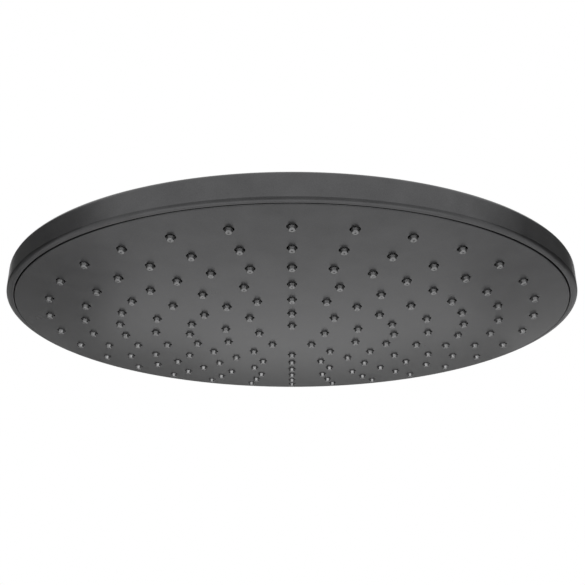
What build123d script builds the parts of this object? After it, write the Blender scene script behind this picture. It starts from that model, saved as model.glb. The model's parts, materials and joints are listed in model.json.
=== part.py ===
from build123d import *
import math
import os

# Rain shower head that hangs from its inlet on a ball joint, in millimetres and degrees.
# The origin is the centre of the inlet mouth, +Z points up out of it, and the head's near side is -Y.

# Driving dimensions of the cover
HEAD_RADIUS = 125.0          # widest circle, the crease at the foot of the rim wall
CROWN_RISE = 6.65            # from the rim's top edge up to the flat land round the collar
RIM_ROUND = 2.0              # rounding of that top edge
WALL_HEIGHT = 9.75           # rim wall, from its top edge down to the crease
WALL_DRAFT = 0.35            # how far the wall leans in on the way up
LIP_WIDTH = 3.3              # rounded lip under the crease, inward
LIP_DROP = 1.05              # the same lip, downward
LIP_BULGE = 4.2              # radius that it is rounded to
COVER_WALL = 2.2             # thickness of the crown
LEDGE_WIDTH = 1.8            # step inside the rim that rests on the chamber plate
LAND_MARGIN = 3.0            # flat land left outside the collar
COVER_HOLE_GAP = 0.4         # round the hub's thread

# Driving dimensions of the spray face and its nozzles
SEAM_GAP = 0.55              # shadow gap between the lip and the face
FACE_STEP = 0.48             # the face's edge stands this far out below the lip
FACE_SAG = 8.29              # how far the face bulges below its own edge
PLATE_WALL = 2.4             # thickness of the spray plate
MAT_WALL = 1.2               # thickness of the nozzle mat
MAT_GAP = 0.05               # between mat and spray plate
MAT_EDGE_GAP = 0.3           # between the mat's edge and the spray plate's flange
NOZZLE_MARGIN = 4.6          # from the outer ring of nozzles to the mat's edge
RING_COUNTS = (5, 10, 20, 20, 30, 30, 30)   # nozzles in each ring, from the middle outward
NOZZLE_FLATS = 6             # flats that stand for the round of each nozzle
NOZZLE_ROOT_RADIUS = 1.9     # straight root, from the mat through the face
NOZZLE_TIP_RADIUS = 1.3
NOZZLE_REACH = 1.6           # how far the tapered tip stands out of the face
NOZZLE_HOLE_GAP = 0.08       # between nozzle and hole
NOZZLE_BORE_RADIUS = 0.5

# Driving dimensions of the water chamber
CHAMBER_WALL = 2.2           # thickness of the chamber plate
FLANGE_WALL = 0.8            # flange of the spray plate inside the gasket groove
GASKET_WIDTH = 1.8
GASKET_HEIGHT = 1.5
GASKET_GAP = 0.05            # each side of the gasket in its groove
GASKET_WEB = 0.85            # between the groove and the screws
SCREW_COUNT = 8
SCREW_RADIUS = 1.25
SCREW_HEAD_RADIUS = 2.4
SCREW_HEAD_HEIGHT = 1.7
SCREW_GAP = 0.15             # round each screw, and below its end
SCREW_HEAD_GAP = 0.5         # from a screw's head to the cover
SCREW_SKIN = 1.2             # left under the end of a screw hole
RIB_COUNT = 8
RIB_WALL = 1.6
RIB_HEIGHT = 2.0
RIB_END_GAP = 2.0            # from a rib's end to the circle of screw heads
SPREADER_WALL = 1.5
SPREADER_DROP = 2.5          # free height for the water above the flow spreader
SPREADER_MARGIN = 0.6        # round its posts
POST_COUNT = 3
POST_RADIUS = 1.3

# Driving dimensions of the ball joint
BALL_RADIUS = 11.0
BALL_LAND = 2.8              # flat under the ball, round the waterway
WATERWAY_RADIUS = 4.2
NECK_WALL = 1.8
NECK_GAP = 0.3               # left between neck and collar at full lean
TILT_LIMIT = 15.0            # each of the two tilts, to either side
RUNNING_GAP = 0.05           # between faces that slide on each other
WASHER_WALL = 1.4            # friction washer on the ball
WASHER_BAND = 11.5           # its height, as an angle seen from the ball's centre
WASHER_SPARE = 1.0           # angle left beyond it at full tilt
SEAL_WALL = 1.2              # how far the ball seal stands out past the ball
SEAL_BAND = 12.0             # angle of ball that it covers
SEAL_FOOT = 1.1              # height of the seal under the ball
SEAL_LEDGE = 0.25            # how far the hub's floor reaches in under the seal
HUB_DROP = 0.6               # least drop of the hub's top below the ball's centre
HUB_WALL = 2.75
HUB_SHOULDER = 2.0           # ring of the hub that the land rests on, outside the collar
THREAD_LENGTH = 7.0
THREAD_GAP = 0.1             # between hub and collar
THREAD_END_GAP = 0.3         # above the hub's top
COLLAR_WALL = 2.9
COLLAR_TOP_WALL = 2.0        # ring left round the collar's mouth
COLLAR_FLARE = 1.2           # depth of the flare in the mouth
COLLAR_SLOPE = 6.5           # height of the collar's sloping shoulder
COLLAR_WASHER_WALL = 1.0
FLUTE_COUNT = 12
FLUTE_RADIUS = 3.0
FLUTE_DEPTH = 0.8

# Driving dimensions of the inlet
INLET_RADIUS = 9.3           # core of a half-inch pipe thread
INLET_DEPTH = 10.0
NUT_WALL = 2.7               # from the thread's core to the flats of the hexagon
NUT_FLOOR = 1.8
NUT_GAP = 1.3                # left between nut and collar at full lean
NUT_CHAMFER = 1.2
POCKET_STEP = 0.3            # the washer's pocket is this much narrower than the thread
INLET_WASHER_WALL = 2.2
INLET_WASHER_WIDTH = 2.5
LIMITER_STEP = 1.6           # seat of the inlet washer, round the limiter's pocket
LIMITER_HEIGHT = 4.0
LIMITER_WALL = 1.5
LIMITER_LEDGE = 1.6          # height of the ledge that carries the limiter's ring
LIMITER_SLOT = 0.8           # water passage between core and ledge
LIMITER_RING_HEIGHT = 1.8
CORE_DROP = 0.5              # the core ends below the limiter's top edge
CORE_FLUTE_RADIUS = 0.45
CORE_FLUTES = 8
SPOKE_COUNT = 3
SPOKE_WALL = 1.2
SPOKE_HEIGHT = 1.0
SCREEN_WALL = 0.5
SCREEN_OPENING = 1.6         # side of each square opening
SCREEN_PITCH = 2.2
SCREEN_EDGE = 1.0            # whole rim round the openings
SLIP_GAP = 0.05              # round a piece that is dropped into its pocket

# Worked-out sizes of the ball joint, with heights from the ball's centre and latitudes in radians
tilt = math.radians(TILT_LIMIT)
spare = math.radians(WASHER_SPARE)
full_lean = math.acos(math.cos(tilt) ** 2)
neck_radius = WATERWAY_RADIUS + NECK_WALL
flat_radius = WATERWAY_RADIUS + BALL_LAND
flat_height = -math.sqrt(BALL_RADIUS**2 - flat_radius**2)
seat_radius = BALL_RADIUS + RUNNING_GAP
pocket_radius = seat_radius + WASHER_WALL + RUNNING_GAP
mouth_latitude = math.acos((neck_radius + NECK_GAP * math.cos(full_lean)) / pocket_radius) - full_lean
mouth_radius = pocket_radius * math.cos(mouth_latitude)
mouth_height = pocket_radius * math.sin(mouth_latitude)
washer_top = mouth_latitude - tilt - spare
washer_bottom = washer_top - math.radians(WASHER_BAND)
hub_top = min(pocket_radius * math.sin(washer_bottom - tilt - spare), -HUB_DROP)
seal_bottom = full_lean - math.acos(flat_radius / BALL_RADIUS)
seal_top = min(seal_bottom + math.radians(SEAL_BAND), math.asin(hub_top / seat_radius))
seal_inner = seat_radius * math.cos(seal_bottom)
seal_outer = BALL_RADIUS + SEAL_WALL
seal_foot = seat_radius * math.sin(seal_bottom) - SEAL_FOOT
hub_bore = seal_outer + RUNNING_GAP
hub_floor = seal_foot - RUNNING_GAP
passage_radius = seal_inner - SEAL_LEDGE
thread_radius = hub_bore + HUB_WALL
collar_bore = thread_radius + THREAD_GAP
collar_radius = collar_bore + COLLAR_WALL
collar_foot = hub_top - THREAD_LENGTH
collar_top = mouth_height + COLLAR_FLARE
collar_top_radius = mouth_radius + COLLAR_FLARE + COLLAR_TOP_WALL
collar_shoulder = collar_top - COLLAR_SLOPE


def height_at_full_lean(radius, height):
    """Height of a point of the collar's edge when the head leans as far as both tilts let it."""
    return height * math.cos(full_lean) + radius * math.sin(full_lean)


nut_foot = NUT_GAP + max(
    height_at_full_lean(collar_top_radius, collar_top),
    height_at_full_lean(collar_radius, collar_shoulder),
)

# Worked-out sizes of the inlet
washer_pocket = INLET_RADIUS - POCKET_STEP
limiter_pocket = washer_pocket - LIMITER_STEP
limiter_radius = limiter_pocket - SLIP_GAP
limiter_inner = limiter_radius - LIMITER_WALL
limiter_seat = WATERWAY_RADIUS - SLIP_GAP
core_radius = limiter_seat - LIMITER_SLOT
washer_floor_z = -INLET_DEPTH - INLET_WASHER_WALL
limiter_top_z = washer_floor_z - SCREEN_WALL
limiter_foot_z = limiter_top_z - LIMITER_HEIGHT
nut_foot_z = limiter_foot_z - NUT_FLOOR
ball_z = nut_foot_z - nut_foot

# Worked-out sizes of the cover, chamber and face
land_z = ball_z + collar_foot - COLLAR_WASHER_WALL
shoulder_z = land_z - COVER_WALL
rim_z = land_z - CROWN_RISE
crease_z = rim_z - WALL_HEIGHT
lip_z = crease_z - LIP_DROP
face_edge_z = lip_z - FACE_STEP
rim_radius = HEAD_RADIUS - WALL_DRAFT
cover_bore = HEAD_RADIUS - LIP_WIDTH
cover_hole = thread_radius + COVER_HOLE_GAP
land_radius = collar_radius + LAND_MARGIN
shoulder_radius = collar_radius + HUB_SHOULDER
ledge_radius = cover_bore - LEDGE_WIDTH
plate_radius = cover_bore - SEAM_GAP
crown_z = (rim_radius**2 - land_radius**2 + rim_z**2 - land_z**2) / (2 * (rim_z - land_z))
crown_radius = math.hypot(rim_radius, rim_z - crown_z)
under_crown_radius = crown_radius - COVER_WALL
screw_circle = ledge_radius - SCREW_HEAD_GAP - SCREW_HEAD_RADIUS
screw_edge = screw_circle + SCREW_HEAD_RADIUS
under_crown_z = crown_z + math.sqrt(under_crown_radius**2 - screw_edge**2)
chamber_top_z = under_crown_z - SCREW_HEAD_GAP - SCREW_HEAD_HEIGHT
flange_z = chamber_top_z - CHAMBER_WALL
groove_z = flange_z - GASKET_HEIGHT
groove_outer = screw_circle - SCREW_RADIUS - GASKET_WEB
groove_inner = groove_outer - GASKET_WIDTH - 2 * GASKET_GAP
flange_radius = groove_inner - FLANGE_WALL
mat_radius = flange_radius - MAT_EDGE_GAP
rib_end = screw_circle - SCREW_HEAD_RADIUS - RIB_END_GAP
post_circle = passage_radius + POST_RADIUS + SPREADER_MARGIN
spreader_radius = post_circle + POST_RADIUS + SPREADER_MARGIN
dome_radius = (plate_radius**2 + FACE_SAG**2) / (2 * FACE_SAG)
dome_z = face_edge_z - FACE_SAG + dome_radius
mat_under_radius = dome_radius - PLATE_WALL - MAT_GAP
mat_top_radius = mat_under_radius - MAT_WALL
ring_pitch = (mat_radius - NOZZLE_MARGIN) / len(RING_COUNTS)
screw_tip_z = dome_z - math.sqrt(dome_radius**2 - screw_circle**2) + SCREW_SKIN


def turned(*lines):
    """Turns the half-section that these lines enclose, drawn as (radius, height), about the Z axis."""
    return revolve(Plane.XZ * make_face(Curve() + list(lines)), Axis.Z)


def turned_points(*points):
    """Turns a half-section with straight sides."""
    return turned(Polyline(*points, close=True))


def ring(inner, outer, bottom, top):
    """A plain ring, as a washer or a gasket."""
    return turned_points((inner, bottom), (outer, bottom), (outer, top), (inner, top))


def round_bar(radius, bottom, top):
    """A round bar along the Z axis."""
    return Pos(Z=bottom) * extrude(Circle(radius), top - bottom)


def bottom_arc(centre_z, radius, reach):
    """Arc of a ball from its lowest point, on the Z axis, out to a reach from that axis."""
    angle = math.degrees(math.asin(reach / radius))
    return CenterArc((0, centre_z), radius, 270, angle)


def latitude_arc(radius, start, end):
    """Arc about the ball's centre between two latitudes in radians."""
    return CenterArc((0, 0), radius, math.degrees(start), math.degrees(end - start))


def around(count, radius=0.0, start=0.0):
    """Places evenly spaced round the Z axis, each turned to face outward along its own X."""
    return [Rot(Z=start + turn * 360 / count) * Pos(X=radius) for turn in range(count)]


def nozzle_places():
    """Places of the nozzles about the dome's centre, with one nozzle of each ring on the near side."""
    places = []
    for number, count in enumerate(RING_COUNTS, start=1):
        lean = math.degrees(math.asin(number * ring_pitch / dome_radius))
        places += [Pos(Z=dome_z) * place * Rot(X=-lean) for place in around(count)]
    return places


def nozzle_bar(*stations):
    """One nozzle form, hanging below the dome's centre, through stations of (radius, distance from it)."""
    outlines = [Pos(Z=-distance) * RegularPolygon(radius, NOZZLE_FLATS) for radius, distance in stations]
    return loft(outlines, ruled=True)


def make_ball_connector():
    """Turned brass piece: hexagon nut with the inlet thread, neck and hollow ball."""
    neck_latitude = math.acos(neck_radius / BALL_RADIUS)
    ball = latitude_arc(BALL_RADIUS, -math.acos(flat_radius / BALL_RADIUS), neck_latitude)
    stem = Polyline(ball @ 1, (neck_radius, nut_foot), (0, nut_foot), (0, flat_height), ball @ 0)
    body = Pos(Z=ball_z) * turned(ball, stem)

    nut_flat = INLET_RADIUS + NUT_WALL
    nut_corner = nut_flat / math.cos(math.pi / 6)
    nut = Pos(Z=nut_foot_z) * extrude(RegularPolygon(nut_corner, 6), -nut_foot_z)
    slope = NUT_CHAMFER * math.tan(math.pi / 6)
    edge_radius = nut_corner - NUT_CHAMFER
    nut &= turned_points(
        (0, nut_foot_z),
        (edge_radius, nut_foot_z),
        (nut_corner, nut_foot_z + slope),
        (nut_corner, -slope),
        (edge_radius, 0),
        (0, 0),
    )

    waterway = turned_points(
        (0, ball_z + flat_height),
        (WATERWAY_RADIUS, ball_z + flat_height),
        (WATERWAY_RADIUS, limiter_foot_z),
        (limiter_pocket, limiter_foot_z),
        (limiter_pocket, washer_floor_z),
        (washer_pocket, washer_floor_z),
        (washer_pocket, -INLET_DEPTH),
        (INLET_RADIUS, -INLET_DEPTH),
        (INLET_RADIUS, 0),
        (0, 0),
    )
    return body + nut - waterway


def make_inlet_washer():
    """Flat washer at the bottom of the inlet thread."""
    outer = washer_pocket - SLIP_GAP
    return ring(outer - INLET_WASHER_WIDTH, outer, washer_floor_z, -INLET_DEPTH)


def make_inlet_screen():
    """Strainer disc with square openings, clamped between washer and limiter."""
    disc = round_bar(limiter_radius, limiter_top_z, washer_floor_z)
    opening = Pos(Z=limiter_top_z) * extrude(Rectangle(SCREEN_OPENING, SCREEN_OPENING), SCREEN_WALL)
    across = int((limiter_radius - SCREEN_EDGE) // SCREEN_PITCH)
    steps = [SCREEN_PITCH * step for step in range(-across, across + 1)]
    half = SCREEN_OPENING / 2
    inside = limiter_radius - SCREEN_EDGE
    return disc - [
        Pos(X=x, Y=y) * opening
        for x in steps
        for y in steps
        if math.hypot(abs(x) + half, abs(y) + half) < inside
    ]


def make_flow_limiter():
    """Cup with a ledge for the soft ring and a fluted core held by spokes."""
    cup = turned_points(
        (limiter_seat, limiter_foot_z),
        (limiter_radius, limiter_foot_z),
        (limiter_radius, limiter_top_z),
        (limiter_inner, limiter_top_z),
        (limiter_inner, limiter_foot_z + LIMITER_LEDGE),
        (limiter_seat, limiter_foot_z + LIMITER_LEDGE),
    )
    core = round_bar(core_radius, limiter_foot_z, limiter_top_z - CORE_DROP)
    flute = round_bar(CORE_FLUTE_RADIUS, limiter_foot_z + SPOKE_HEIGHT, limiter_top_z)
    core -= [place * flute for place in around(CORE_FLUTES, core_radius)]
    spoke_length = limiter_seat + LIMITER_WALL / 2
    spoke = Pos(Z=limiter_foot_z) * extrude(
        Pos(X=spoke_length / 2) * Rectangle(spoke_length, SPOKE_WALL), SPOKE_HEIGHT
    )
    return cup + core + [place * spoke for place in around(SPOKE_COUNT)]


def make_limiter_ring():
    """Soft ring round the limiter's core, which swells over the flutes as the pressure rises."""
    bottom = limiter_foot_z + LIMITER_LEDGE
    return ring(core_radius + SLIP_GAP, limiter_inner - SLIP_GAP, bottom, bottom + LIMITER_RING_HEIGHT)


def make_friction_washer():
    """Floating washer, round inside and out, between the ball and the collar."""
    inner = latitude_arc(seat_radius, washer_bottom, washer_top)
    outer = latitude_arc(pocket_radius - RUNNING_GAP, washer_bottom, washer_top)
    return Pos(Z=ball_z) * turned(inner, outer, Line(inner @ 0, outer @ 0), Line(inner @ 1, outer @ 1))


def make_ball_seal():
    """Soft ring under the ball, with a hollow seat that follows it."""
    seat = latitude_arc(seat_radius, seal_bottom, seal_top)
    top = seat_radius * math.sin(seal_top)
    sides = Polyline(seat @ 1, (seal_outer, top), (seal_outer, seal_foot), (seal_inner, seal_foot), seat @ 0)
    return Pos(Z=ball_z) * turned(seat, sides)


def make_collar_nut():
    """Screwed collar that keeps the ball in the hub, with grip flutes round its skirt."""
    pocket = latitude_arc(pocket_radius, 0, mouth_latitude)
    step = hub_top + THREAD_END_GAP
    outside = Polyline(
        pocket @ 1,
        (mouth_radius + COLLAR_FLARE, collar_top),
        (collar_top_radius, collar_top),
        (collar_radius, collar_shoulder),
        (collar_radius, collar_foot),
        (collar_bore, collar_foot),
        (collar_bore, step),
        (pocket_radius, step),
        pocket @ 0,
    )
    flute = round_bar(FLUTE_RADIUS, collar_foot, collar_shoulder)
    flutes = [place * flute for place in around(FLUTE_COUNT, collar_radius + FLUTE_RADIUS - FLUTE_DEPTH)]
    return Pos(Z=ball_z) * (turned(pocket, outside) - flutes)


def make_collar_washer():
    """Flat washer between the collar and the cover."""
    return ring(cover_hole, collar_radius, land_z, land_z + COLLAR_WASHER_WALL)


def make_top_cover():
    """Round shell: land, crown, rim wall and rounded lip, with a ledge inside the rim."""
    under_land_radius = math.sqrt(under_crown_radius**2 - (shoulder_z - crown_z) ** 2)
    ledge_top_z = crown_z + math.sqrt(under_crown_radius**2 - ledge_radius**2)
    crown = RadiusArc((land_radius, land_z), (rim_radius, rim_z), crown_radius)
    under_crown = RadiusArc((under_land_radius, shoulder_z), (ledge_radius, ledge_top_z), under_crown_radius)
    wall = Line(crown @ 1, (HEAD_RADIUS, crease_z))
    lip = RadiusArc(wall @ 1, (cover_bore, lip_z), LIP_BULGE)
    inside = Polyline(
        lip @ 1,
        (cover_bore, chamber_top_z),
        (ledge_radius, chamber_top_z),
        under_crown @ 1,
    )
    land = Polyline(
        under_crown @ 0,
        (cover_hole, shoulder_z),
        (cover_hole, land_z),
        crown @ 0,
    )
    section = make_face(Curve() + [crown, wall, lip, inside, under_crown, land])
    top_edge = section.vertices().sort_by_distance((rim_radius, rim_z))[0]
    return revolve(Plane.XZ * fillet(top_edge, RIM_ROUND), Axis.Z)


def make_chamber_plate():
    """Upper wall of the water chamber, with stiffening ribs and the threaded hub."""
    plate = turned_points(
        (passage_radius, flange_z),
        (plate_radius, flange_z),
        (plate_radius, chamber_top_z),
        (shoulder_radius, chamber_top_z),
        (shoulder_radius, shoulder_z),
        (thread_radius, shoulder_z),
        (thread_radius, ball_z + hub_top),
        (hub_bore, ball_z + hub_top),
        (hub_bore, ball_z + hub_floor),
        (passage_radius, ball_z + hub_floor),
    )
    rib_start = (thread_radius + shoulder_radius) / 2
    rib_length = rib_end - rib_start
    rib = Pos(X=rib_start + rib_length / 2, Z=chamber_top_z) * extrude(
        Rectangle(rib_length, RIB_WALL), RIB_HEIGHT
    )
    hole = round_bar(SCREW_RADIUS + SCREW_GAP, flange_z, chamber_top_z)
    return plate + [place * rib for place in around(RIB_COUNT)] - [place * hole for place in screw_places()]


def screw_places():
    """Places of the chamber screws, midway between the ribs."""
    return around(SCREW_COUNT, screw_circle, 180 / RIB_COUNT)


def make_chamber_gasket():
    """Flat ring in the spray plate's groove, under the chamber plate."""
    return ring(groove_inner + GASKET_GAP, groove_outer - GASKET_GAP, groove_z, flange_z)


def make_chamber_screws():
    """The ring of screws that hold the spray plate to the chamber plate."""
    shank = round_bar(SCREW_RADIUS, screw_tip_z + SCREW_GAP, chamber_top_z)
    head = round_bar(SCREW_HEAD_RADIUS, chamber_top_z, chamber_top_z + SCREW_HEAD_HEIGHT)
    screw = shank + head
    return Compound([place * screw for place in screw_places()])


def make_flow_spreader():
    """Disc on posts under the hub, which turns the jet sideways."""
    disc_top = flange_z - SPREADER_DROP
    disc = round_bar(spreader_radius, disc_top - SPREADER_WALL, disc_top)
    post = round_bar(POST_RADIUS, disc_top, flange_z)
    return disc + [place * post for place in around(POST_COUNT, post_circle)]


def make_nozzle_mat():
    """Soft domed sheet with the spray nozzles, each with its own bore."""
    under = bottom_arc(dome_z, mat_under_radius, mat_radius)
    top = bottom_arc(dome_z, mat_top_radius, mat_radius)
    sheet = turned(under, top, Line(under @ 1, top @ 1), Line(under @ 0, top @ 0))
    middle = (mat_under_radius + mat_top_radius) / 2
    tip = dome_radius + NOZZLE_REACH
    nozzle = nozzle_bar(
        (NOZZLE_ROOT_RADIUS, middle),
        (NOZZLE_ROOT_RADIUS, dome_radius),
        (NOZZLE_TIP_RADIUS, tip),
    )
    bore = nozzle_bar((NOZZLE_BORE_RADIUS, mat_top_radius - MAT_WALL), (NOZZLE_BORE_RADIUS, tip + MAT_WALL))
    places = nozzle_places()
    return sheet + [place * nozzle for place in places] - [place * bore for place in places]


def make_spray_plate():
    """Domed face with a nozzle hole for each nozzle, and a flange with the gasket's groove."""
    face = bottom_arc(dome_z, dome_radius, plate_radius)
    back = bottom_arc(dome_z, dome_radius - PLATE_WALL, flange_radius)
    flange = Polyline(
        face @ 1,
        (plate_radius, flange_z),
        (groove_outer, flange_z),
        (groove_outer, groove_z),
        (groove_inner, groove_z),
        (groove_inner, flange_z),
        (flange_radius, flange_z),
        back @ 1,
    )
    plate = turned(face, flange, back, Line(face @ 0, back @ 0))
    pilot = round_bar(SCREW_RADIUS, screw_tip_z, flange_z)
    hole_radius = NOZZLE_ROOT_RADIUS + NOZZLE_HOLE_GAP
    hole = nozzle_bar((hole_radius, mat_top_radius), (hole_radius, dome_radius + NOZZLE_REACH))
    holes = [place * hole for place in nozzle_places()]
    return plate - holes - [place * pilot for place in screw_places()]


pieces = {
    "ball_connector": make_ball_connector,
    "inlet_washer": make_inlet_washer,
    "inlet_screen": make_inlet_screen,
    "flow_limiter": make_flow_limiter,
    "limiter_ring": make_limiter_ring,
    "friction_washer": make_friction_washer,
    "ball_seal": make_ball_seal,
    "collar_nut": make_collar_nut,
    "collar_washer": make_collar_washer,
    "top_cover": make_top_cover,
    "chamber_plate": make_chamber_plate,
    "chamber_gasket": make_chamber_gasket,
    "chamber_screws": make_chamber_screws,
    "flow_spreader": make_flow_spreader,
    "nozzle_mat": make_nozzle_mat,
    "spray_plate": make_spray_plate,
}

os.makedirs("parts", exist_ok=True)
for name, make in pieces.items():
    piece = make()
    piece.label = name
    export_step(piece, f"parts/{name}.step")
    print(f"{name}: {len(piece.solids())} solid(s), {piece.volume / 1000:.2f} cm3")
print(f"ball centre z {ball_z:.3f}, rim top z {rim_z:.3f}, face edge z {face_edge_z:.3f}")
print(f"dome radius {dome_radius:.2f}, outer ring of nozzles {ring_pitch * len(RING_COUNTS):.2f}")
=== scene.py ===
"""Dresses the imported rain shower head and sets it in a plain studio.

Shapes are worked out in millimetres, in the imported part's own frame: the origin is the centre of the inlet's
mouth, +Z points up out of it and -Y is the near side. They turn into metres when a mesh is made.
"""

import json
import logging
import math
from collections.abc import Callable, Iterable, Sequence
from dataclasses import dataclass
from enum import Enum

import bmesh
import bpy
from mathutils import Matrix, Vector
from mathutils.geometry import delaunay_2d_cdt


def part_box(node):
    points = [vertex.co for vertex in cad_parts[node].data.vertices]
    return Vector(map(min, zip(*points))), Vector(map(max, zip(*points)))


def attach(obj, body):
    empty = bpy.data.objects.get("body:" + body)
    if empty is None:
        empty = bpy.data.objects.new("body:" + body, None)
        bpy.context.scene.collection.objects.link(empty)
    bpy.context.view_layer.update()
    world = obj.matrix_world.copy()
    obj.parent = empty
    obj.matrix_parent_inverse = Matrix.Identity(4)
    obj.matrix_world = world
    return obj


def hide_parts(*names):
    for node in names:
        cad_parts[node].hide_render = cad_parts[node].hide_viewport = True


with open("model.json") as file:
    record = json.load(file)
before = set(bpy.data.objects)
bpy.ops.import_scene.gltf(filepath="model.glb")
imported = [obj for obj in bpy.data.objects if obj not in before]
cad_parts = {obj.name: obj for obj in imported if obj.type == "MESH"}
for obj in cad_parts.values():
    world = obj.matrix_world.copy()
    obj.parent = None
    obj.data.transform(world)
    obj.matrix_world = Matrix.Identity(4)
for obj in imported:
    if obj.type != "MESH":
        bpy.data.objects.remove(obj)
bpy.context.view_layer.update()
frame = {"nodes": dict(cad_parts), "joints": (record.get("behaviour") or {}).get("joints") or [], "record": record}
log = logging.getLogger("shower_head")

MM = 0.001                      # the frame is in metres
FULL_TURN = 2 * math.pi
NEAR_SIDE = -math.pi / 2        # angle of the -Y axis
HEX_HALF = math.pi / 6          # half of a hexagon's side, as an angle about its middle
SHARP_ANGLE = math.radians(32)  # edges that turn more than this stay crisp
FILL_KIND = 0                   # triangles out to the outermost points
FILL_TOLERANCE = 1e-6
NOISE_DETAIL = 3.0
SHADE_STOPS = (0.35, 0.65)      # noise values of a finish's darkest and palest colour
MATT_ROUGHNESS = 0.9

Point = tuple[float, float]     # distance from an axis, and height along it
Place = tuple[float, float, float]
Colour = tuple[float, float, float]


class Body(Enum):
    """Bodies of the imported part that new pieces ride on."""

    CONNECTOR = "connector"
    HEAD = "head"


class Slot(Enum):
    """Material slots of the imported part."""

    SHELL = "satin_shell"
    BRASS = "coated_brass"
    SILICONE = "nozzle_silicone"
    CHAMBER = "chamber_plastic"
    SLIP = "slip_plastic"
    RUBBER = "seal_rubber"
    STEEL = "bare_steel"


def top_of(node: str) -> float:
    """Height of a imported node's highest point, in millimetres."""
    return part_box(node)[1].z / MM


def foot_of(node: str) -> float:
    """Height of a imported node's lowest point, in millimetres."""
    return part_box(node)[0].z / MM


def reach_of(node: str) -> float:
    """Distance of a packed round node's edge from the Z axis, in millimetres."""
    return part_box(node)[1].x / MM


def ball_height() -> float:
    """Height of the ball joint's centre, in millimetres."""
    return frame["joints"][0]["pos_m"][2] / MM


def evenly(count: int, start: float = 0.0) -> list[float]:
    """Angles that divide a full turn, in radians."""
    return [start + FULL_TURN * step / count for step in range(count)]


def around(reach: float, turn: float, height: float = 0.0) -> Vector:
    """Point at a distance from the Z axis, an angle about it and a height."""
    return Vector((reach * math.cos(turn), reach * math.sin(turn), height))


def swing(centre: Vector, start: Vector, end: Vector, steps: int) -> list[Point]:
    """Divides the shorter arc between two points about a centre.

    Args:
        centre: Centre of the arc.
        start: First point on it.
        end: Last point on it.
        steps: Number of equal parts.

    Returns:
        The points of the arc, with both ends.
    """
    first, last = start - centre, end - centre
    angle = first.angle(last)
    points = []
    for step in range(steps + 1):
        share = step / steps
        along = first * math.sin((1 - share) * angle) + last * math.sin(share * angle)
        points.append(tuple(centre + along / math.sin(angle)))
    return points


def arc(start: Point, end: Point, radius: float, steps: int) -> list[Point]:
    """Draws an arc that bulges to the left of the way from its start to its end.

    Args:
        start: First point of the arc.
        end: Last point of the arc.
        radius: Its radius.
        steps: Number of equal parts.

    Returns:
        The points of the arc, with both ends.
    """
    first, last = Vector(start), Vector(end)
    chord = last - first
    left = Vector((-chord.y, chord.x)).normalized()
    rise = math.sqrt(radius**2 - chord.length_squared / 4)
    return swing((first + last) / 2 - left * rise, first, last, steps)


@dataclass(frozen=True)
class Corner:
    """Corner of a half-section, with the radius that it is rounded to."""

    reach: float
    height: float
    rounding: float = 0.0


def corners_of(points: Iterable[Point]) -> list[Corner]:
    """Turns points into corners without rounding."""
    return [Corner(*point) for point in points]


def rounded(corners: Sequence[Corner], steps: int = 5) -> list[Point]:
    """Rounds the corners of an outline.

    Args:
        corners: Corners in order. The first and last of an open outline have no rounding.
        steps: Number of parts of each rounding.

    Returns:
        The points of the outline.
    """
    places = [Vector((corner.reach, corner.height)) for corner in corners]
    points = []
    for number, corner in enumerate(corners):
        here = places[number]
        if not corner.rounding:
            points.append(tuple(here))
            continue
        back = (places[number - 1] - here).normalized()
        ahead = (places[(number + 1) % len(places)] - here).normalized()
        half = back.angle(ahead) / 2
        run = corner.rounding / math.tan(half)
        centre = here + (back + ahead).normalized() * corner.rounding / math.sin(half)
        points += swing(centre, here + back * run, here + ahead * run, steps)
    return points


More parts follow.
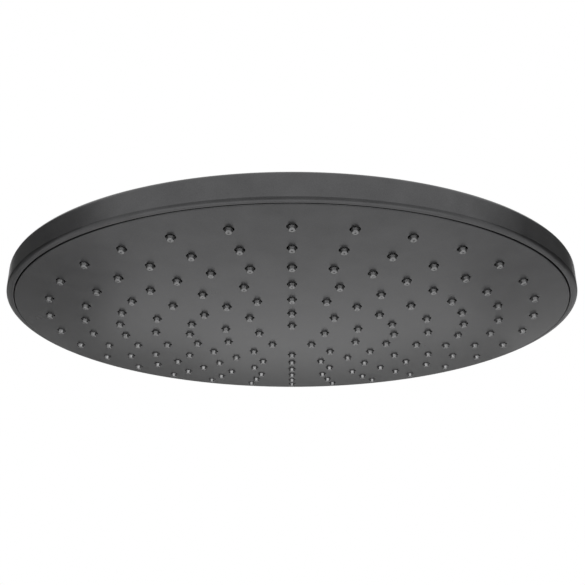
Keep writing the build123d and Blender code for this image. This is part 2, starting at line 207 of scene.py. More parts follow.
class Draft:
    """Collects the points and faces of one closed mesh."""

    def __init__(self) -> None:
        """Starts with no points and no faces."""
        self.points: list[Vector] = []
        self.faces: list[tuple[int, ...]] = []

    def loop(self, points: Iterable[Vector]) -> list[int]:
        """Adds points.

        Args:
            points: Points in order.

        Returns:
            Their numbers.
        """
        first = len(self.points)
        self.points.extend(points)
        return list(range(first, len(self.points)))

    def circle(self, reach: float, height: float, angles: Sequence[float]) -> list[int]:
        """Adds a circle about the Z axis and returns its numbers."""
        return self.loop(around(reach, turn, height) for turn in angles)

    def bridge(self, one: Sequence[int], other: Sequence[int]) -> None:
        """Joins two closed loops with a band of faces.

        Args:
            one: Numbers of the first loop.
            other: Numbers of the second loop, as many.
        """
        for here in range(len(one)):
            there = (here + 1) % len(one)
            self.faces.append((one[here], one[there], other[there], other[here]))

    def chain(self, loops: Sequence[Sequence[int]]) -> None:
        """Joins each loop with the next one."""
        for one, other in zip(loops, loops[1:]):
            self.bridge(one, other)

    def turn(self, section: Callable[[float], list[Point]], angles: Sequence[float]) -> None:
        """Sweeps a closed half-section once round the Z axis.

        Args:
            section: Gives the outline at an angle, always with as many points.
            angles: Angles of the sweep, in radians.
        """
        loops = []
        for turn in angles:
            across = around(1.0, turn)
            points = [across * reach + Vector((0, 0, height)) for reach, height in section(turn)]
            loops.append(self.loop(points))
        self.chain([*loops, loops[0]])

    def sheet(self, rim: Sequence[int], holes: Sequence[Sequence[int]], loose: Sequence[int] = ()) -> None:
        """Fills a rim, as seen along the Z axis, with triangles that leave round holes open.

        Args:
            rim: Loop round the sheet.
            holes: Loop of each hole.
            loose: Points between the loops.
        """
        numbers: list[int] = []
        edges: list[tuple[int, int]] = []
        for loop in [rim, *holes]:
            first = len(numbers)
            edges += [(first + step, first + (step + 1) % len(loop)) for step in range(len(loop))]
            numbers += loop
        numbers += loose
        owner = {number: place for place, hole in enumerate(holes) for number in hole}
        flat = [self.points[number].to_2d() for number in numbers]
        _, _, triangles, sources, _, _ = delaunay_2d_cdt(flat, edges, [], FILL_KIND, FILL_TOLERANCE)
        for triangle in triangles:
            corners = tuple(numbers[sources[corner][0]] for corner in triangle)
            owners = {owner.get(corner) for corner in corners}
            if len(owners) > 1 or None in owners:
                self.faces.append(corners)

    def mesh(self, name: str) -> bpy.types.Mesh:
        """Turns the draft into a smooth mesh in metres, with its crisp edges kept.

        Args:
            name: Name of the mesh.

        Returns:
            The mesh, with its faces turned outward.
        """
        mesh = bpy.data.meshes.new(name)
        mesh.from_pydata([point * MM for point in self.points], [], self.faces)
        shape = bmesh.new()
        shape.from_mesh(mesh)
        bmesh.ops.recalc_face_normals(shape, faces=shape.faces)
        shape.to_mesh(mesh)
        shape.free()
        mesh.shade_smooth()
        mesh.set_sharp_from_angle(angle=SHARP_ANGLE)
        return mesh


def grey(shade: float) -> tuple[float, float, float, float]:
    """Neutral opaque colour of a paleness from 0 to 1."""
    return (shade, shade, shade, 1.0)


def node_of(tree: bpy.types.NodeTree, kind: str) -> bpy.types.Node:
    """First node of a kind in a node tree."""
    return next(node for node in tree.nodes if node.type == kind)


def reckon(
    tree: bpy.types.NodeTree,
    operation: str,
    one: bpy.types.NodeSocket,
    other: bpy.types.NodeSocket | float,
) -> bpy.types.NodeSocket:
    """Adds a piece of arithmetic to a node tree.

    Args:
        tree: Node tree that takes it.
        operation: What is done with the two values.
        one: First value.
        other: Second value, which may be a plain number.

    Returns:
        The result.
    """
    node = tree.nodes.new("ShaderNodeMath")
    node.operation = operation
    tree.links.new(one, node.inputs[0])
    if isinstance(other, float):
        node.inputs[1].default_value = other
    else:
        tree.links.new(other, node.inputs[1])
    return node.outputs[0]


def show_either(
    tree: bpy.types.NodeTree,
    choice: bpy.types.NodeSocket,
    shaders: Sequence[bpy.types.Node],
    output: bpy.types.Node,
) -> None:
    """Puts one of two shaders on a node tree's output.

    Args:
        tree: Node tree of a material or of the surroundings.
        choice: Value that picks the first shader at 0 and the second at 1.
        shaders: The two shaders.
        output: Output node of the tree.
    """
    mix = tree.nodes.new("ShaderNodeMixShader")
    tree.links.new(choice, mix.inputs[0])
    for shader, entry in zip(shaders, mix.inputs[1:]):
        tree.links.new(shader.outputs[0], entry)
    tree.links.new(mix.outputs[0], output.inputs["Surface"])


@dataclass(frozen=True)
class Finish:
    """Look of one material: its colour, its gloss and the fine unevenness of both.

    The edge tint is the share of light that a metal throws back at a low angle. The grain is a fine skin that
    catches the light, and the mottle is a broad cloudiness of colour and gloss, both with sizes in
    millimetres.
    """

    slot: Slot
    colour: Colour
    roughness: float
    metallic: float = 0.0
    edge_tint: float = 1.0
    grain: float = 0.4
    grain_depth: float = 0.004
    mottle: float = 12.0
    shade_spread: float = 0.12
    gloss_spread: float = 0.05

    def material(self) -> bpy.types.Material:
        """Makes the material.

        Returns:
            A material named for its slot.
        """
        material = bpy.data.materials.new(self.slot.value)
        material.use_nodes = True
        tree = material.node_tree
        shader = node_of(tree, "BSDF_PRINCIPLED")
        shader.inputs["Metallic"].default_value = self.metallic
        shader.inputs["Specular Tint"].default_value = grey(self.edge_tint)
        place = tree.nodes.new("ShaderNodeTexCoord").outputs["Object"]
        noises = []
        for size in (self.grain, self.mottle):
            noise = tree.nodes.new("ShaderNodeTexNoise")
            noise.inputs["Scale"].default_value = 1 / (size * MM)
            noise.inputs["Detail"].default_value = NOISE_DETAIL
            tree.links.new(place, noise.inputs["Vector"])
            noises.append(noise.outputs["Fac"])
        grain, mottle = noises

        mean = reckon(tree, "MULTIPLY", reckon(tree, "ADD", grain, mottle), 0.5)
        ramp = tree.nodes.new("ShaderNodeValToRGB")
        for stop, position, level in zip(ramp.color_ramp.elements, SHADE_STOPS, (-1, 1)):
            stop.position = position
            stop.color = (*(part * (1 + level * self.shade_spread) for part in self.colour), 1)
        tree.links.new(mean, ramp.inputs["Fac"])
        tree.links.new(ramp.outputs["Color"], shader.inputs["Base Color"])

        gloss = tree.nodes.new("ShaderNodeMapRange")
        gloss.inputs["To Min"].default_value = self.roughness - self.gloss_spread
        gloss.inputs["To Max"].default_value = self.roughness + self.gloss_spread
        tree.links.new(mottle, gloss.inputs["Value"])
        tree.links.new(gloss.outputs["Result"], shader.inputs["Roughness"])

        bump = tree.nodes.new("ShaderNodeBump")
        bump.inputs["Distance"].default_value = self.grain_depth * MM
        tree.links.new(grain, bump.inputs["Height"])
        tree.links.new(bump.outputs["Normal"], shader.inputs["Normal"])
        return material


GRAPHITE: Colour = (0.094, 0.094, 0.096)
SILICONE_GREY: Colour = (0.25, 0.25, 0.252)

FINISHES = (
    Finish(Slot.SHELL, GRAPHITE, roughness=0.30, metallic=1.0, edge_tint=0.97),
    Finish(Slot.BRASS, GRAPHITE, roughness=0.36, metallic=1.0, edge_tint=0.6, grain=0.3),
    Finish(
        Slot.SILICONE,
        SILICONE_GREY,
        roughness=0.2,
        metallic=0.9,
        edge_tint=0.8,
        grain=0.25,
        grain_depth=0.006,
        mottle=3.0,
    ),
    Finish(Slot.CHAMBER, (0.03, 0.03, 0.03), roughness=0.5, grain=0.6, grain_depth=0.01),
    Finish(Slot.SLIP, (0.72, 0.72, 0.7), roughness=0.45, grain=0.5, mottle=5.0),
    Finish(Slot.RUBBER, (0.022, 0.022, 0.022), roughness=0.65, grain=0.3, grain_depth=0.01, mottle=4.0),
    Finish(Slot.STEEL, (0.56, 0.56, 0.56), roughness=0.3, metallic=1.0, grain=0.2, mottle=2.0),
)


class Wardrobe:
    """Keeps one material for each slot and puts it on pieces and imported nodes."""

    def __init__(self, finishes: Iterable[Finish]) -> None:
        """Makes the materials of these finishes."""
        self.materials = {finish.slot: finish.material() for finish in finishes}

    def dress_nodes(self) -> None:
        """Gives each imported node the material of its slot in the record."""
        for subpart in frame["record"]["subparts"]:
            mesh = frame["nodes"][subpart["node"]].data
            mesh.materials.clear()
            mesh.materials.append(self.materials[Slot(subpart["material_slot"])])
            log.info("%s: packed node in %s", subpart["node"], subpart["material_slot"])

    def show(self, draft: Draft, node: str, body: Body, slot: Slot) -> None:
        """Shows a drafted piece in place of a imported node.

        Args:
            draft: Points and faces of the piece.
            node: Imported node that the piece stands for.
            body: Body that it rides on.
            slot: Material slot that it takes its finish from.
        """
        mesh = draft.mesh(f"{node}_dressed")
        mesh.materials.append(self.materials[slot])
        piece = bpy.data.objects.new(mesh.name, mesh)
        bpy.context.scene.collection.objects.link(piece)
        flats = piece.modifiers.new("flat faces stay flat", "WEIGHTED_NORMAL")
        flats.keep_sharp = True
        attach(piece, body.value)
        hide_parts(node)
        log.info("%s: %d points, %d faces", piece.name, len(mesh.vertices), len(mesh.polygons))


@dataclass
class TopCover:
    """Round shell: land round the collar, shallow crown, rim wall and rounded lip."""

    head_radius: float = 125.0
    crown_rise: float = 6.65    # from the rim up to the land
    rim_round: float = 2.0
    wall_height: float = 9.75
    wall_draft: float = 0.35    # how far the wall leans in at its top
    crease_round: float = 0.15  # where the wall meets the lip
    lip_width: float = 2.95
    lip_drop: float = 1.2
    lip_bulge: float = 3.5      # radius of the lip's curve
    lip_round: float = 0.2      # edge at the seam
    ledge_width: float = 1.8    # inner step that rests on the chamber plate
    chamber_wall: float = 2.2
    shell_wall: float = 2.2
    land_radius: float = 21.0
    hole_radius: float = 15.4
    hole_round: float = 0.2
    sides: int = 288
    crown_steps: int = 24
    under_steps: int = 12
    lip_steps: int = 10

    def __post_init__(self) -> None:
        """Works out the heights and the ball that the crown is part of."""
        self.land = top_of("top_cover")
        self.rim = self.land - self.crown_rise
        self.rim_radius = self.head_radius - self.wall_draft
        span = self.rim_radius**2 - self.land_radius**2
        self.crown_depth = (span - self.crown_rise**2) / (2 * self.crown_rise)
        self.crown_radius = math.hypot(self.rim_radius, self.crown_depth)

    def crown_height(self, reach: float) -> float:
        """Height of the crown at a distance from the Z axis."""
        return self.rim - self.crown_depth + math.sqrt(self.crown_radius**2 - reach**2)

    def outline(self) -> list[Point]:
        """Draws the half-section, from the land outward, down the wall and back inside.

        Returns:
            The points of the closed outline.
        """
        bore = self.head_radius - self.lip_width
        ledge_reach = bore - self.ledge_width
        crease = self.rim - self.wall_height
        lip_end = (bore, crease - self.lip_drop)
        ledge = foot_of("chamber_plate") + self.chamber_wall
        under_land = self.land - self.shell_wall
        under_rim = (ledge_reach, self.crown_height(ledge_reach) - self.shell_wall)
        rim = (self.rim_radius, self.rim)
        crown = arc((self.land_radius, self.land), rim, self.crown_radius, self.crown_steps)
        under = arc((self.land_radius, under_land), under_rim, self.crown_radius, self.under_steps)
        lip = arc((self.head_radius, crease), lip_end, self.lip_bulge, self.lip_steps)
        return rounded(
            [
                Corner(self.hole_radius, self.land, self.hole_round),
                *corners_of(crown[:-1]),
                Corner(*crown[-1], self.rim_round),
                Corner(*lip[0], self.crease_round),
                *corners_of(lip[1:-1]),
                Corner(*lip[-1], self.lip_round),
                Corner(bore, ledge),
                Corner(ledge_reach, ledge),
                *corners_of(reversed(under)),
                Corner(self.hole_radius, under_land, self.hole_round),
            ]
        )

    def build(self, wardrobe: Wardrobe) -> None:
        """Builds the cover and shows it.

        Args:
            wardrobe: Materials that it is dressed from.
        """
        draft = Draft()
        outline = self.outline()
        draft.turn(lambda turn: outline, evenly(self.sides))
        wardrobe.show(draft, "top_cover", Body.HEAD, Slot.SHELL)


@dataclass(frozen=True)
class NozzleLine:
    """Line of one nozzle, square to the domed face."""

    hub: Vector   # centre of the dome
    out: Vector   # way that the nozzle points
    side: Vector  # way across it, level

    def ring(self, reach: float, distance: float, sides: int) -> list[Vector]:
        """Gives a circle about the line.

        Args:
            reach: Radius of the circle.
            distance: Distance of its plane from the dome's centre.
            sides: Number of points.

        Returns:
            The points of the circle.
        """
        centre = self.hub + self.out * distance
        across = self.out.cross(self.side)
        return [
            centre + (self.side * math.cos(turn) + across * math.sin(turn)) * reach
            for turn in evenly(sides)
        ]


@dataclass
class SprayFace:
    """Domed spray plate with a hole for each nozzle, and the soft mat whose nozzles poke through it."""

    sag: float = 8.29           # how far the dome hangs below its edge
    plate_wall: float = 2.4
    plate_round: float = 0.42   # edge at the seam
    edge_spread: float = 0.5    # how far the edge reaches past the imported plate's, which narrows the seam
    flange_wall: float = 0.8    # inside the gasket's groove
    gasket_width: float = 1.8
    gasket_gap: float = 0.05
    screw_count: int = 8
    screw_circle: float = 117.0
    pilot_radius: float = 1.25
    pilot_gap: float = 0.15
    pilot_sides: int = 16
    mat_gap: float = 0.05
    mat_wall: float = 1.2
    ring_counts: tuple[int, ...] = (5, 10, 20, 20, 30, 30, 30)
    nozzle_margin: float = 4.6  # from the outer ring to the mat's edge
    root_radius: float = 1.58
    shoulder_round: float = 0.3
    tip_radius: float = 1.34
    tip_round: float = 0.42
    nozzle_reach: float = 1.6   # from the face to the tip
    mouth_radius: float = 0.4
    mouth_depth: float = 0.15
    bore_radius: float = 0.34
    entry_radius: float = 0.9
    entry_depth: float = 0.4
    hole_gap: float = 0.42
    hole_round: float = 0.15
    fill_step: float = 7.5      # between the points that fill a dome
    rim_sides: int = 288
    nozzle_sides: int = 24

    def __post_init__(self) -> None:
        """Works out the dome, the mat's two sides and the lines of the nozzles."""
        self.plate_radius = reach_of("spray_plate") + self.edge_spread
        self.dome_radius = (self.plate_radius**2 + self.sag**2) / (2 * self.sag)
        self.dome_centre = Vector((0, 0, foot_of("spray_plate") + self.dome_radius))
        self.plate_back = self.dome_radius - self.plate_wall
        self.mat_radius = reach_of("nozzle_mat")
        self.mat_under = self.plate_back - self.mat_gap
        self.mat_top = self.mat_under - self.mat_wall
        self.rim_angles = evenly(self.rim_sides)
        self.lines = self.nozzle_lines()

    def nozzle_lines(self) -> list[NozzleLine]:
        """Works out where the nozzles are, with one nozzle of each ring on the near side.

        Returns:
            The nozzles' lines, ring by ring.
        """
        pitch = (self.mat_radius - self.nozzle_margin) / len(self.ring_counts)
        lines = []
        for number, count in enumerate(self.ring_counts, start=1):
            lean = math.asin(number * pitch / self.dome_radius)
            for turn in evenly(count, start=NEAR_SIDE):
                outward = around(1.0, turn)
                out = outward * math.sin(lean) - Vector((0, 0, math.cos(lean)))
                lines.append(NozzleLine(self.dome_centre, out, Vector((-outward.y, outward.x, 0))))
        return lines

    def dome_height(self, reach: float, radius: float) -> float:
        """Height of a ball about the dome's centre, on its underside, at a distance from the Z axis."""
        return self.dome_centre.z - math.sqrt(radius**2 - reach**2)

    def fill(self, draft: Draft, radius: float, limit: float) -> list[int]:
        """Scatters points in circles over a dome, clear of the nozzles.

        Args:
            draft: Draft that takes the points.
            radius: Radius of the dome.
            limit: Distance from the Z axis that they stay within.

        Returns:
            The numbers of the points.
        """
        clear = 2 * self.root_radius
        feet = [(self.dome_centre + line.out * radius).to_2d() for line in self.lines]
        points = [Vector((0, 0, self.dome_height(0, radius)))]
        circles = int(limit / self.fill_step)
        for number in range(1, circles + 1):
            reach = number * limit / (circles + 1)
            for turn in evenly(int(FULL_TURN * reach / self.fill_step)):
                place = Vector((math.cos(turn), math.sin(turn))) * reach
                if all((place - foot).length > clear for foot in feet):
                    points.append(Vector((*place, self.dome_height(reach, radius))))
        return draft.loop(points)

    def bored(self, draft: Draft, section: Sequence[Point]) -> tuple[list[list[int]], list[list[int]]]:
        """Turns a section about every nozzle's line.

        Args:
            draft: Draft that takes the loops and their faces.
            section: Open outline, as distances from the line and from the dome's centre.

        Returns:
            The first loops and the last loops.
        """
        firsts, lasts = [], []
        for line in self.lines:
            loops = [draft.loop(line.ring(*point, self.nozzle_sides)) for point in section]
            draft.chain(loops)
            firsts.append(loops[0])
            lasts.append(loops[-1])
        return firsts, lasts

    def hole_section(self) -> list[Point]:
        """Draws a nozzle hole's wall, from the face, over its rounded edge, to the back.

        Returns:
            The points of the open outline.
        """
        hole = self.root_radius + self.hole_gap
        land = hole + 2 * self.hole_round
        return rounded(
            [
                Corner(land, math.sqrt(self.dome_radius**2 - land**2)),
                Corner(hole, self.dome_radius, self.hole_round),
                Corner(hole, math.sqrt(self.plate_back**2 - hole**2)),
            ]
        )

    def nozzle_section(self) -> list[Point]:
        """Draws a nozzle, from the mat down to its tip and up through its bore to the mat's top.

        Returns:
            The points of the open outline.
        """
        tip = self.dome_radius + self.nozzle_reach
        return rounded(
            [
                Corner(self.root_radius, math.sqrt(self.mat_under**2 - self.root_radius**2)),
                Corner(self.root_radius, self.dome_radius, self.shoulder_round),
                Corner(self.tip_radius, tip, self.tip_round),
                Corner(self.mouth_radius, tip),
                Corner(self.bore_radius, tip - self.mouth_depth),
                Corner(self.bore_radius, self.mat_top + self.entry_depth),
                Corner(self.entry_radius, math.sqrt(self.mat_top**2 - self.entry_radius**2)),
            ]
        )

    def build_plate(self, wardrobe: Wardrobe) -> None:
        """Builds the spray plate: domed face, nozzle holes, back, gasket groove and screw holes.

        Args:
            wardrobe: Materials that it is dressed from.
        """
        draft = Draft()
        face_holes, back_holes = self.bored(draft, self.hole_section())
        flange, groove = top_of("spray_plate"), foot_of("chamber_gasket")
        groove_outer = reach_of("chamber_gasket") + self.gasket_gap
        groove_inner = groove_outer - self.gasket_width - 2 * self.gasket_gap
        back_reach = groove_inner - self.flange_wall
        edge = self.plate_radius - 2 * self.plate_round
        rim = self.dome_height(self.plate_radius, self.dome_radius)
        outside = rounded(
            [
                Corner(edge, self.dome_height(edge, self.dome_radius)),
                Corner(self.plate_radius, rim, self.plate_round),
                Corner(self.plate_radius, flange),
            ]
        )
        inside = [
            (groove_outer, flange),
            (groove_outer, groove),
            (groove_inner, groove),
            (groove_inner, flange),
            (back_reach, flange),
            (back_reach, self.dome_height(back_reach, self.plate_back)),
        ]
        outer = [draft.circle(*point, self.rim_angles) for point in outside]
        inner = [draft.circle(*point, self.rim_angles) for point in inside]
        draft.chain(outer)
        draft.chain(inner)
        draft.sheet(outer[0], face_holes, self.fill(draft, self.dome_radius, edge))
        draft.sheet(inner[-1], back_holes, self.fill(draft, self.plate_back, back_reach))
        draft.sheet(outer[-1], [inner[0], *self.pilot_holes(draft, flange)])
        wardrobe.show(draft, "spray_plate", Body.HEAD, Slot.SHELL)

    def pilot_holes(self, draft: Draft, flange: float) -> list[list[int]]:
        """Sinks the blind screw holes into the flange.

        Args:
            draft: Draft that takes the loops and their faces.
            flange: Height of the flange.

        Returns:
            The loops of their mouths.
        """
        end = foot_of("chamber_screws") - self.pilot_gap
        rim_angles = evenly(self.pilot_sides)
        mouths = []
        for turn in evenly(self.screw_count, start=math.pi / self.screw_count):
            centre = around(1.0, turn) * self.screw_circle
            mouth, bottom = (
                draft.loop(centre + around(self.pilot_radius, angle, height) for angle in rim_angles)
                for height in (flange, end)
            )
            draft.bridge(mouth, bottom)
            draft.faces.append(tuple(bottom))
            mouths.append(mouth)
        return mouths

    def build_mat(self, wardrobe: Wardrobe) -> None:
        """Builds the soft mat with its nozzles.

        Args:
            wardrobe: Materials that it is dressed from.
        """
        draft = Draft()
        roots, entries = self.bored(draft, self.nozzle_section())
        under, top = (
            draft.circle(self.mat_radius, self.dome_height(self.mat_radius, radius), self.rim_angles)
            for radius in (self.mat_under, self.mat_top)
        )
        draft.bridge(under, top)
        draft.sheet(under, roots, self.fill(draft, self.mat_under, self.mat_radius))
        draft.sheet(top, entries, self.fill(draft, self.mat_top, self.mat_radius))
        wardrobe.show(draft, "nozzle_mat", Body.HEAD, Slot.SILICONE)

    def build(self, wardrobe: Wardrobe) -> None:
        """Builds plate and mat."""
        self.build_plate(wardrobe)
        self.build_mat(wardrobe)


@dataclass
class BallConnector:
    """Turned brass piece: hexagon nut with the inlet thread, neck and hollow ball."""

    nut_flat: float = 12.0         # half of the width across flats
    nut_height: float = 18.5
    nut_chamfer: float = 1.2
    nut_corner_round: float = 0.5
    nut_edge_round: float = 0.25
    edge_middle: float = 0.3       # share of an edge's rounding that its middle lies in
    thread_core: float = 9.3
    thread_depth: float = 1.15
    thread_pitch: float = 1.814
    thread_rows: int = 14          # points to a pitch
    mouth_radius: float = 10.8
    inlet_depth: float = 10.0
    washer_pocket: float = 9.0
    washer_floor: float = 12.2
    limiter_pocket: float = 7.4
    limiter_floor: float = 16.7
    waterway: float = 4.2
    neck_radius: float = 6.0
    neck_fillet: float = 0.8
    fillet_steps: int = 5
    ball_radius: float = 11.0
    flat_radius: float = 7.0
    ball_steps: int = 28
    corner_steps: tuple[float, ...] = (0.0, 0.5, 0.9, 1.3, 3.0, 5.0, 7.0, 9.0, 10.5, 11.5, 15.0, 20.0, 25.0)

    def __post_init__(self) -> None:
        """Works out the ball's place."""
        self.ball = ball_height()

    def angles(self) -> list[float]:
        """Divides the sweep, with steps in degrees that are closer together at the hexagon's corners.

        Returns:
            The angles, in radians.
        """
        half = [math.radians(step) for step in self.corner_steps]
        about_corner = [-step for step in reversed(half[1:])] + half + [HEX_HALF]
        return [corner + step for corner in evenly(6) for step in about_corner]

    def hexagon(self, turn: float) -> float:
        """Works out where the nut's side is, with its corners rounded.

        Args:
            turn: Angle about the Z axis.

        Returns:
            Distance of the side from the Z axis.
        """
        off_corner = abs((turn + HEX_HALF) % (2 * HEX_HALF) - HEX_HALF)
        pin = (self.nut_flat - self.nut_corner_round) / math.cos(HEX_HALF)
        reach = pin * math.sin(off_corner)
        round_end = math.atan2(self.nut_corner_round / 2, pin + self.nut_corner_round * math.cos(HEX_HALF))
        if off_corner < round_end:
            return pin * math.cos(off_corner) + math.sqrt(self.nut_corner_round**2 - reach**2)
        return self.nut_flat / math.cos(HEX_HALF - off_corner)

    def thread(self, turn: float, height: float) -> float:
        """Works out where the threaded wall is, with a lead-in at the mouth and a run-out below.

        Args:
            turn: Angle about the Z axis.
            height: Height of the point.

        Returns:
            Distance of the wall from the Z axis.
        """
        phase = FULL_TURN * height / self.thread_pitch - turn
        run_out = min(1.0, (height + self.inlet_depth) / self.thread_pitch)
        cut = self.thread_depth * run_out * (1 - math.cos(phase)) / 2
        return max(self.thread_core + cut, self.mouth_radius + height)

    def section(self, turn: float) -> list[Point]:
        """Draws the half-section, down the outside and up through the waterway.

        Args:
            turn: Angle about the Z axis.

        Returns:
            The points of the closed outline.
        """
        side = self.hexagon(turn)
        shoulder = min(side, self.nut_flat / math.cos(HEX_HALF) - self.nut_chamfer)
        drop = (side - shoulder) * math.tan(HEX_HALF)
        edge, foot = self.nut_edge_round, -self.nut_height
        middle = edge * self.edge_middle
        points = [
            (shoulder - edge, 0.0),
            (shoulder - middle, -middle),
            (side, -drop - edge),
            (side, foot + drop + edge),
            (shoulder - middle, foot + middle),
            (shoulder - edge, foot),
        ]
        fillet_foot = (self.neck_radius, foot - self.neck_fillet)
        fillet_top = (self.neck_radius + self.neck_fillet, foot)
        points += reversed(arc(fillet_foot, fillet_top, self.neck_fillet, self.fillet_steps))
        bottom = self.ball - math.sqrt(self.ball_radius**2 - self.flat_radius**2)
        neck_end = self.ball + math.sqrt(self.ball_radius**2 - self.neck_radius**2)
        points += swing(
            Vector((0, self.ball)),
            Vector((self.neck_radius, neck_end)),
            Vector((self.flat_radius, bottom)),
            self.ball_steps,
        )
        points += [
            (self.waterway + edge, bottom),
            (self.waterway, bottom + edge),
            (self.waterway, -self.limiter_floor),
            (self.limiter_pocket, -self.limiter_floor),
            (self.limiter_pocket, -self.washer_floor),
            (self.washer_pocket, -self.washer_floor),
            (self.washer_pocket, -self.inlet_depth),
        ]
        rows = int(self.thread_rows * self.inlet_depth / self.thread_pitch)
        heights = [self.inlet_depth * (row / rows - 1) for row in range(rows + 1)]
        return points + [(self.thread(turn, height), height) for height in heights]

    def build(self, wardrobe: Wardrobe) -> None:
        """Builds the connector and shows it.

        Args:
            wardrobe: Materials that it is dressed from.
        """
        draft = Draft()
        draft.turn(self.section, self.angles())
        wardrobe.show(draft, "ball_connector", Body.CONNECTOR, Slot.BRASS)


@dataclass
class CollarNut:
    """Screwed collar that keeps the ball in its seat, with grip flutes round its skirt."""

    radius: float = 18.0
    top_radius: float = 12.95
    slope: float = 6.5          # height of the cone from the skirt to the top
    flare: float = 1.2          # bevel of the mouth
    pocket_radius: float = 12.5
    pocket_steps: int = 10
    thread_radius: float = 15.1
    thread_end: float = -0.735  # height above the ball's centre
    mouth_round: float = 0.3
    top_round: float = 0.6
    shoulder_round: float = 0.8
    foot_round: float = 0.3
    flute_count: int = 12
    flute_radius: float = 3.0
    flute_depth: float = 0.8
    flute_end: float = 0.8      # height of each half of a flute's run-out
    flute_steps: tuple[float, ...] = (-1.0, -0.85, -0.6, -0.3, 0.0, 0.3, 0.6, 0.85, 1.0)
    land_steps: int = 5

    def __post_init__(self) -> None:
        """Works out the heights and how wide a flute is."""
        self.ball = ball_height()
        self.top, self.foot = top_of("collar_nut"), foot_of("collar_nut")
        self.pitch = FULL_TURN / self.flute_count
        self.pin = self.radius + self.flute_radius - self.flute_depth
        spread = self.pin**2 + self.radius**2 - self.flute_radius**2
        self.flute_half = math.acos(spread / (2 * self.pin * self.radius))

    def angles(self) -> list[float]:
        """Divides the sweep, across each flute and the land that follows it.

        Returns:
            The angles, in radians.
        """
        land = self.pitch - 2 * self.flute_half
        parts = self.land_steps + 1
        steps = [step * self.flute_half for step in self.flute_steps]
        steps += [self.flute_half + land * step / parts for step in range(1, parts)]
        return [flute + step for flute in evenly(self.flute_count) for step in steps]

    def skirt(self, turn: float) -> float:
        """Works out where the fluted skirt is.

        Args:
            turn: Angle about the Z axis.

        Returns:
            Distance of the skirt from the Z axis.
        """
        off_flute = abs((turn + self.pitch / 2) % self.pitch - self.pitch / 2)
        if off_flute >= self.flute_half:
            return self.radius
        reach = self.pin * math.sin(off_flute)
        return self.pin * math.cos(off_flute) - math.sqrt(self.flute_radius**2 - reach**2)

    def section(self, turn: float) -> list[Point]:
        """Draws the half-section, from the pocket over the mouth and down the skirt.

        Args:
            turn: Angle about the Z axis.

        Returns:
            The points of the closed outline.
        """
        skirt = self.skirt(turn)
        mouth = self.top - self.flare
        mouth_reach = math.sqrt(self.pocket_radius**2 - (mouth - self.ball) ** 2)
        shoulder = self.top - self.slope
        flute_top = shoulder - self.flute_end
        step = self.ball + self.thread_end
        pocket = swing(
            Vector((0, self.ball)),
            Vector((self.pocket_radius, self.ball)),
            Vector((mouth_reach, mouth)),
            self.pocket_steps,
        )
        return rounded(
            [
                *corners_of(pocket),
                Corner(mouth_reach + self.flare, self.top, self.mouth_round),
                Corner(self.top_radius, self.top, self.top_round),
                Corner(self.radius, shoulder, self.shoulder_round),
                Corner(self.radius, flute_top),
                Corner((self.radius + skirt) / 2, flute_top - self.flute_end / 2),
                Corner(skirt, flute_top - 2 * self.flute_end),
                Corner(skirt, self.foot, self.foot_round),
                Corner(self.thread_radius, self.foot, self.foot_round),
                Corner(self.thread_radius, step),
                Corner(self.pocket_radius, step),
            ]
        )

    def build(self, wardrobe: Wardrobe) -> None:
        """Builds the collar and shows it.

        Args:
            wardrobe: Materials that it is dressed from.
        """
        draft = Draft()
        draft.turn(self.section, self.angles())
        wardrobe.show(draft, "collar_nut", Body.HEAD, Slot.BRASS)


@dataclass(frozen=True)
class Softbox:
    """Rectangular lamp that faces straight down, in metres and watts."""

    name: str
    place: Place
    width: float
    depth: float
    power: float

    def build(self) -> None:
        """Hangs the lamp, out of sight of the camera and of mirrors."""
        lamp = bpy.data.lights.new(self.name, "AREA")
        lamp.shape = "RECTANGLE"
        lamp.size = self.width
        lamp.size_y = self.depth
        lamp.energy = self.power
        stand = bpy.data.objects.new(self.name, lamp)
        stand.location = self.place
        stand.visible_camera = stand.visible_glossy = False
        bpy.context.scene.collection.objects.link(stand)


@dataclass(frozen=True)
class Card:
    """Plain matt rectangle, in metres, of a paleness from 0 to 1 and with any glow of its own."""

    name: str
    place: Place
    width: float
    height: float
    shade: float
    glow: float = 0.0

    def material(self) -> bpy.types.Material:
        """Makes the rectangle's own matt material.

        Returns:
            A material named for the rectangle.
        """
        material = bpy.data.materials.new(self.name)
        material.use_nodes = True
        inputs = node_of(material.node_tree, "BSDF_PRINCIPLED").inputs
        inputs["Base Color"].default_value = grey(self.shade)
        inputs["Roughness"].default_value = MATT_ROUGHNESS
        inputs["Specular IOR Level"].default_value = 0.0
        inputs["Emission Color"].default_value = grey(1.0)
        inputs["Emission Strength"].default_value = self.glow
        return material

    def build(self) -> bpy.types.Object:
        """Lays the rectangle level in its place.

        Returns:
            The rectangle, which isn't part of the head.
        """
        x, y = self.width / 2, self.height / 2
        mesh = bpy.data.meshes.new(self.name)
        mesh.from_pydata([(-x, -y, 0), (x, -y, 0), (x, y, 0), (-x, y, 0)], [], [(0, 1, 2, 3)])
        mesh.materials.append(self.material())
        stand = bpy.data.objects.new(self.name, mesh)
        bpy.context.scene.collection.objects.link(stand)
        stand.location = self.place
        return stand


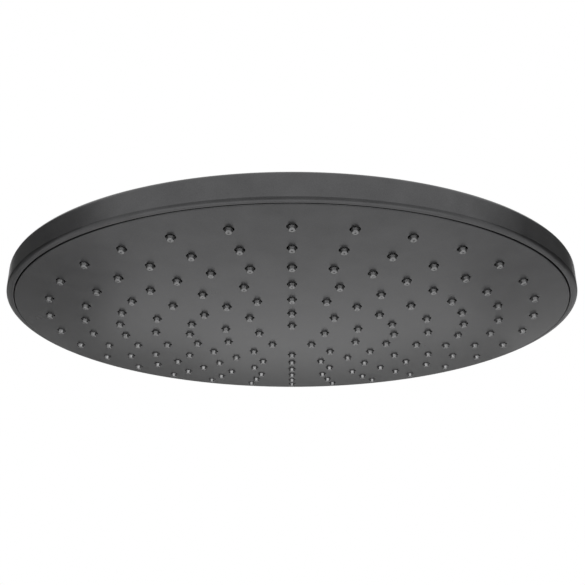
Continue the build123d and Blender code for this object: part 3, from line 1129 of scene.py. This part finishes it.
@dataclass
class Studio:
    """Camera, white surroundings, pale floor, soft lamp and the cards that the coat mirrors, in metres."""

    camera_place: Place = (0.0, -0.4247, -0.20217)
    camera_rise: float = 20.059        # degrees above level
    sensor: float = 36.0               # millimetres, as the lens
    lens: float = 60.81
    sideways_shift: float = 0.0009
    fill_strength: float = 0.83
    floor: Card = Card("floor", (0.0, 0.0, -0.35), 60.0, 60.0, 0.8)
    lamp: Softbox = Softbox("key_softbox", (0.0, 0.5, 1.1), 0.9, 0.9, 5.2)
    aim: Place = (0.0, 0.0, -0.055)    # point that the cards face
    cards: tuple[Card, ...] = (
        Card("left_card", (-0.95, 0.78, 0.25), 0.7, 0.9, 0.12),
        Card("right_card", (0.95, 0.78, 0.25), 0.7, 0.9, 0.105),
        Card("left_flag", (-1.1, 0.34, 0.4), 0.52, 0.9, 0.17),
        Card("right_flag", (1.1, 0.34, 0.4), 0.52, 0.9, 0.19),
        Card("left_strip", (-1.15, -0.12, 0.4), 0.55, 0.26, 0.22),
        Card("right_strip", (1.15, -0.12, 0.4), 0.55, 0.2, 0.3),
        Card("left_low", (-0.283, 0.353, -0.17), 0.2, 0.36, 0.36),
        Card("right_low", (0.28, 0.35, -0.17), 0.2, 0.36, 0.56),
        Card("left_far", (-0.39, 1.135, -0.2), 0.47, 0.3, 0.18),
        Card("right_far", (0.39, 1.135, -0.2), 0.46, 0.3, 0.25),
        Card("back_card", (0.0, 1.6, -0.05), 1.7, 0.6, 0.18),
        Card("front_card", (0.0, -0.17, -0.26), 0.52, 0.18, 0.68),
        Card("front_glow", (0.0, -0.75, -0.25), 1.6, 0.18, 0.8, glow=1.3),
        Card("under_glow", (0.0, -0.02, -0.3), 0.36, 0.12, 0.8, glow=0.6),
        Card("left_side", (-0.47, 0.05, -0.2), 0.6, 0.3, 0.1),
        Card("right_side", (0.47, 0.05, -0.2), 0.6, 0.3, 0.1),
    )

    def build(self) -> None:
        """Sets up the whole studio."""
        self.set_camera()
        self.set_world()
        self.set_floor()
        self.lamp.build()
        for card in self.cards:
            self.set_card(card)
        bpy.context.scene.view_settings.view_transform = "Standard"

    def set_camera(self) -> None:
        """Places the camera below the near side, looking up at the face."""
        camera = bpy.data.cameras.new("camera")
        camera.sensor_width = self.sensor
        camera.lens = self.lens
        camera.shift_x = self.sideways_shift
        stand = bpy.data.objects.new("camera", camera)
        stand.location = self.camera_place
        stand.rotation_euler = (math.radians(90 + self.camera_rise), 0, 0)
        bpy.context.scene.collection.objects.link(stand)
        bpy.context.scene.camera = stand

    def set_world(self) -> None:
        """Makes the surroundings white to the eye and in mirrors, and weaker as a light."""
        world = bpy.data.worlds.new("white_surroundings")
        bpy.context.scene.world = world
        world.use_nodes = True
        tree = world.node_tree
        weak = node_of(tree, "BACKGROUND")
        white = tree.nodes.new("ShaderNodeBackground")
        for light, strength in ((weak, self.fill_strength), (white, 1.0)):
            light.inputs["Color"].default_value = grey(1.0)
            light.inputs["Strength"].default_value = strength
        path = tree.nodes.new("ShaderNodeLightPath")
        seen = path.outputs["Is Camera Ray"]
        for ray in ("Is Glossy Ray", "Is Transmission Ray"):
            seen = reckon(tree, "MAXIMUM", seen, path.outputs[ray])
        show_either(tree, seen, (weak, white), node_of(tree, "OUTPUT_WORLD"))

    def set_floor(self) -> None:
        """Lays the pale floor under the hanging head, clear to whoever looks up from below it."""
        tree = self.floor.build().data.materials[0].node_tree
        matt = node_of(tree, "BSDF_PRINCIPLED")
        clear = tree.nodes.new("ShaderNodeBsdfTransparent")
        under = tree.nodes.new("ShaderNodeNewGeometry").outputs["Backfacing"]
        show_either(tree, under, (matt, clear), node_of(tree, "OUTPUT_MATERIAL"))

    def set_card(self, card: Card) -> None:
        """Sets up a card that faces the head and shows in mirrors alone.

        Args:
            card: Card to set up.
        """
        stand = card.build()
        way = Vector(self.aim) - Vector(card.place)
        stand.rotation_euler = way.to_track_quat("-Z", "Y").to_euler()
        stand.visible_camera = stand.visible_diffuse = stand.visible_shadow = False


def main() -> None:
    """Builds the studio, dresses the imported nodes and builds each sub-assembly."""
    logging.basicConfig(level=logging.INFO, format="%(message)s")
    Studio().build()
    wardrobe = Wardrobe(FINISHES)
    wardrobe.dress_nodes()
    for assembly in (TopCover(), SprayFace(), BallConnector(), CollarNut()):
        assembly.build(wardrobe)


if __name__ == "__main__":
    main()
